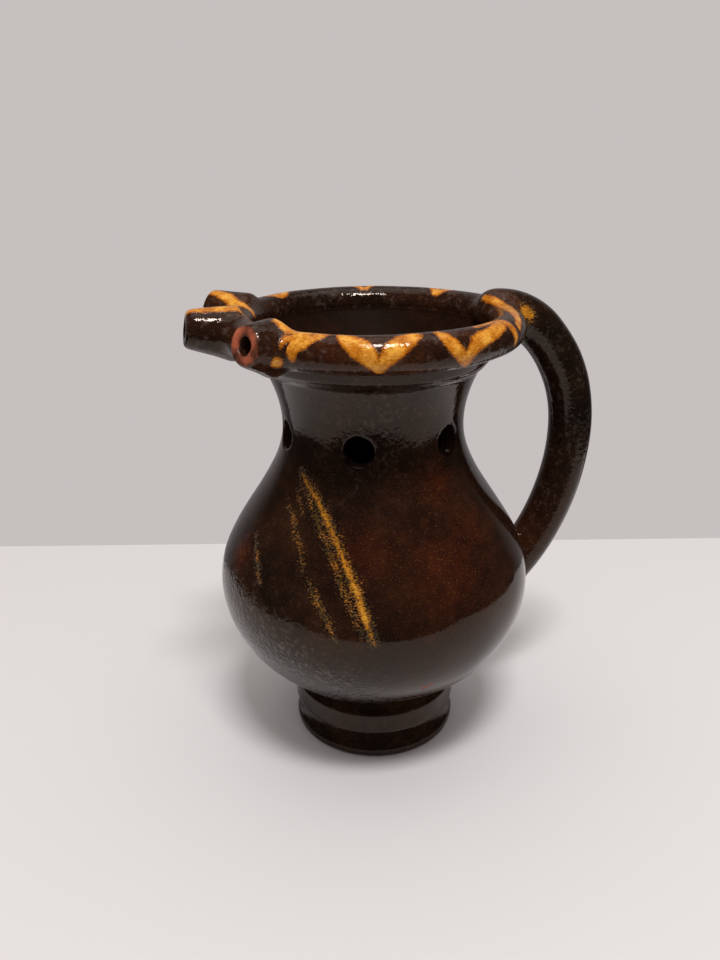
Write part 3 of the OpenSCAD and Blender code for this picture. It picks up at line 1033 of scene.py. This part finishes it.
# %% Bare clay
# Fired red clay: hardly any gloss, and a sandy grain that catches light from the side.
clay.use_nodes = True
nodes = clay.node_tree
nodes.nodes.clear()
place = add(nodes, "ShaderNodeTexCoord").outputs["Object"]
sand = add(nodes, "ShaderNodeTexNoise", {
    "Vector": place, "Scale": per_mm(1.2), "Detail": 3.0}).outputs["Fac"]
tint = add(nodes, "ShaderNodeMix", {0: sand, 6: srgb("#7a3c26"), 7: srgb("#b06a48")},
           data_type="RGBA").outputs[2]
relief = add(nodes, "ShaderNodeBump", {"Height": sand, "Distance": 0.08 * MM}).outputs[0]
shader = add(nodes, "ShaderNodeBsdfPrincipled", {
    "Base Color": tint, "Roughness": 0.85, "Normal": relief})
add(nodes, "ShaderNodeOutputMaterial", {"Surface": shader.outputs[0]})
print(clay.name, len(nodes.nodes), "nodes")

# %% [markdown]
# ## Each piece takes its node's place
# The rim and the spouts carry the trailed slip, so they use the rim's glaze. Everything else is the
# dark body glaze. All pieces ride on the one body, because a fired pot has no moving part.

# %% Riding and replacing
for name, piece in pieces.items():
    of_rim = name.startswith(("rim", "spout"))
    if of_rim:
        piece.data.materials[0] = rim_glaze
    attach(piece, "root")
    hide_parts(name)
print(len(pieces), "pieces in place")

# %% [markdown]
# ## Floor and light
# The jug stands on a plain white table top in a pale room, lit from above and in front by one lamp. A
# large softbox overhead stands for the ceiling. The glaze mirrors the table low on the belly and on the
# neck, and the table's size sets where that ends. Beyond it the glaze mirrors a dark room on the
# camera's side, which keeps it black, and a pale wall behind the jug.

# %% Floor and light
bpy.ops.object.select_all(action="DESELECT")
table_w, table_front, table_back = 0.6, -0.2, 0.139
bpy.ops.mesh.primitive_plane_add(size=1)
floor = bpy.context.object
floor.scale = (table_w, table_back - table_front, 1)
floor.location = (0, (table_back + table_front) / 2, 0)
bpy.ops.object.transform_apply(location=True, rotation=False, scale=True)
floor.rotation_euler.z = math.radians(heading)
bpy.ops.object.transform_apply(location=False, rotation=True, scale=False)
floor.name = "table_top"
table = bpy.data.materials.new("white_laminate")
table.use_nodes = True
laminate = table.node_tree.nodes["Principled BSDF"]
laminate.inputs["Base Color"].default_value = srgb("#cfcccb")
laminate.inputs["Roughness"].default_value = 0.55
floor.data.materials.append(table)


def lamp(name, turn, lift, distance, width, depth, power):
    """A flat lamp at a heading and a height in degrees, aimed at the middle of the jug."""
    turn, lift = math.radians(turn), math.radians(lift)
    aim = Vector((0, 0, 0.1))
    away = Vector((math.cos(lift) * math.cos(turn), math.cos(lift) * math.sin(turn), math.sin(lift)))
    data = bpy.data.lights.new(name, "AREA")
    data.shape = "RECTANGLE"
    data.size = width
    data.size_y = depth
    data.energy = power
    obj = bpy.data.objects.new(name, data)
    obj.location = aim + away * distance
    obj.rotation_euler = away.to_track_quat("Z", "Y").to_euler()
    bpy.context.scene.collection.objects.link(obj)


lamp("room_lamp", turn=-95, lift=67, distance=1.3, width=0.36, depth=0.18, power=13)
lamp("ceiling", turn=60, lift=80, distance=1.6, width=1.4, depth=1.4, power=5)

world = bpy.data.worlds.new("pale_room")
bpy.context.scene.world = world
world.use_nodes = True
nodes = world.node_tree
nodes.nodes.clear()
towards = add(nodes, "ShaderNodeTexCoord").outputs["Generated"]
view = (math.sin(math.radians(-heading)), math.cos(math.radians(heading)), 0)
ahead = add(nodes, "ShaderNodeVectorMath", {0: towards, 1: view},
            operation="DOT_PRODUCT").outputs["Value"]
back = add(nodes, "ShaderNodeMapRange", {"Value": ahead, "From Min": 0.5, "From Max": 0.85,
                                         "To Min": 0.05, "To Max": 0.5}).outputs[0]
shine = add(nodes, "ShaderNodeLightPath").outputs["Is Glossy Ray"]
level = add(nodes, "ShaderNodeMix", {0: shine, 2: 1.0, 3: back}).outputs[0]
sky = add(nodes, "ShaderNodeBackground", {"Color": srgb("#c6c0bf"), "Strength": level})
add(nodes, "ShaderNodeOutputWorld", {"Surface": sky.outputs[0]})
print("floor, two lamps and a world of", len(nodes.nodes), "nodes")
